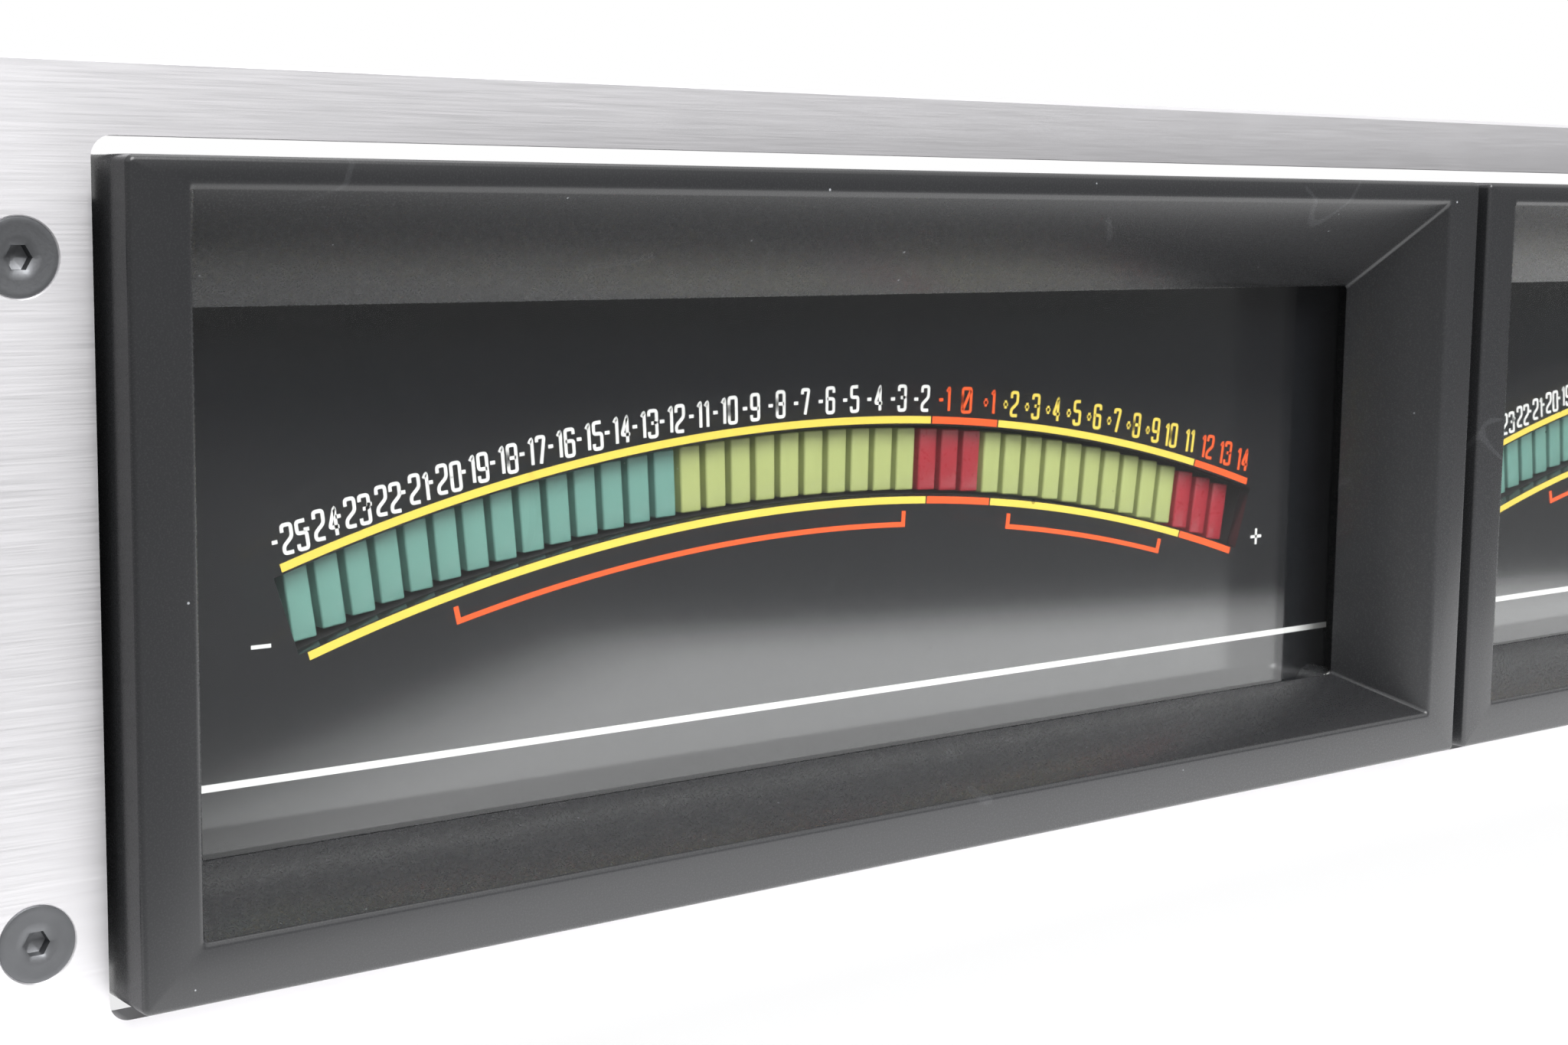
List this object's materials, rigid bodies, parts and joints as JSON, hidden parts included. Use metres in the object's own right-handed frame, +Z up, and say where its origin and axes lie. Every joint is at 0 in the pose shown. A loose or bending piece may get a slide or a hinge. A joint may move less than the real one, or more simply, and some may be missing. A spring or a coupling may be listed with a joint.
{
  "type": "rack level meter",
  "caption": "Two-unit rack panel in brushed metal carrying twin bar-graph level meters with sloped black bezels, curved scales and boxed electronics behind.",
  "frame": {"origin": "centre of the four rack slots, on the back face of the panel", "axes": "+X to the right along the panel seen from the front, +Y back into the rack, +Z up"},
  "size_m": [0.4826, 0.1763, 0.0882],
  "materials": {
    "panel_aluminium": "brushed along its length, clear anodised",
    "dark_screws": "black oxide",
    "zinc_screws": "zinc plated",
    "bracket_steel": "zinc plated sheet",
    "spacer_aluminium": "as extruded",
    "bezel_plastic": "moulded black, satin",
    "scale_plate": "printed black acrylic, glossy",
    "window_clear": "clear cast acrylic, polished",
    "scale_print": "screen printed",
    "bar_green": "tinted translucent resin",
    "bar_yellow": "tinted translucent resin",
    "bar_red": "tinted translucent resin",
    "brass": "nickel-free turned brass",
    "nylon": "natural nylon",
    "chip_plastic": "moulded epoxy",
    "header_plastic": "moulded black",
    "capacitor_sleeve": "shrink sleeve",
    "wire_sleeve": "PVC insulation",
    "circuit_board": "green solder mask",
    "ribbon_plastic": "grey PVC",
    "case_paint": "fine textured black powder coat",
    "connector_shell": "cast and dark plated",
    "nickel": "nickel plated",
    "switch_metal": "nickel plated, with a moulded body",
    "rotor_brass": "turned",
    "fuse_plastic": "moulded black",
    "insert_plastic": "moulded black",
    "inlet_plastic": "moulded black",
    "lamination": "varnished laminations",
    "coil_tape": "yellow winding tape"
  },
  "bodies": {
    "chassis": {"front_panel": "panel_aluminium", "panel_screws": "dark_screws", "side_bracket_left": "bracket_steel", "side_bracket_right": "bracket_steel", "inner_screws": "zinc_screws", "windows": "window_clear", "centre_spacer": "spacer_aluminium", "input_inserts": "insert_plastic", "inlet_blades": "nickel", "bars_green": "bar_green", "bars_yellow": "bar_yellow", "bars_red": "bar_red", "case_screws": "dark_screws", "board_standoffs": "brass", "display_spacers": "nylon", "board_chips": "chip_plastic", "board_connectors": "header_plastic", "capacitors": "capacitor_sleeve", "signal_wires": "wire_sleeve", "mains_wires": "wire_sleeve", "bezel_left": "bezel_plastic", "bezel_right": "bezel_plastic", "scale_plate_left": "scale_plate", "scale_plate_right": "scale_plate", "bar_holder_left": "header_plastic", "bar_holder_right": "header_plastic", "display_board_left": "circuit_board", "display_board_right": "circuit_board", "ribbon_cable_left": "ribbon_plastic", "ribbon_cable_right": "ribbon_plastic", "main_board_left": "circuit_board", "main_board_right": "circuit_board", "case_bottom_left": "case_paint", "case_bottom_right": "case_paint", "case_top_left": "case_paint", "case_top_right": "case_paint", "rear_panel_left": "case_paint", "rear_panel_right": "case_paint", "input_connector_left": "connector_shell", "input_connector_right": "connector_shell", "mode_switch_left": "switch_metal", "mode_switch_right": "switch_metal", "trimmer_left": "switch_metal", "trimmer_right": "switch_metal", "fuse_holder_left": "fuse_plastic", "fuse_holder_right": "fuse_plastic", "mains_inlet_left": "inlet_plastic", "mains_inlet_right": "inlet_plastic", "transformer_core_left": "lamination", "transformer_core_right": "lamination", "transformer_coil_left": "coil_tape", "transformer_coil_right": "coil_tape"},
    "tab_left": {"release_tab_left": "nickel"},
    "tab_right": {"release_tab_right": "nickel"},
    "lever_left": {"switch_lever_left": "nickel"},
    "lever_right": {"switch_lever_right": "nickel"},
    "rotor_left": {"trimmer_rotor_left": "rotor_brass"},
    "rotor_right": {"trimmer_rotor_right": "rotor_brass"},
    "cap_left": {"fuse_cap_left": "fuse_plastic"},
    "cap_right": {"fuse_cap_right": "fuse_plastic"}
  },
  "joints": [
    {"name": "tab_press_left", "type": "slide", "parent": "chassis", "child": "tab_left", "axis": [0, -1, 0], "range_m": [0, 0.002], "stiffness_N_per_m": 400},
    {"name": "switch_tip_left", "type": "hinge", "parent": "chassis", "child": "lever_left", "pos_m": [-0.1199, 0.154, -0.0031], "axis": [1, 0, 0], "range_deg": [-12, 12]},
    {"name": "level_turn_left", "type": "hinge", "parent": "chassis", "child": "rotor_left", "pos_m": [-0.1009, 0.15, -0.0031], "axis": [0, 1, 0], "range_deg": [-135, 135]},
    {"name": "fuse_turn_left", "type": "hinge", "parent": "chassis", "child": "cap_left", "pos_m": [-0.0769, 0.155, -0.0031], "axis": [0, 1, 0], "range_deg": [0, 90]},
    {"name": "tab_press_right", "type": "slide", "parent": "chassis", "child": "tab_right", "axis": [0, -1, 0], "range_m": [0, 0.002], "stiffness_N_per_m": 400},
    {"name": "switch_tip_right", "type": "hinge", "parent": "chassis", "child": "lever_right", "pos_m": [0.0579, 0.154, -0.0031], "axis": [1, 0, 0], "range_deg": [-12, 12]},
    {"name": "level_turn_right", "type": "hinge", "parent": "chassis", "child": "rotor_right", "pos_m": [0.0769, 0.15, -0.0031], "axis": [0, 1, 0], "range_deg": [-135, 135]},
    {"name": "fuse_turn_right", "type": "hinge", "parent": "chassis", "child": "cap_right", "pos_m": [0.1009, 0.155, -0.0031], "axis": [0, 1, 0], "range_deg": [0, 90]}
  ]
}
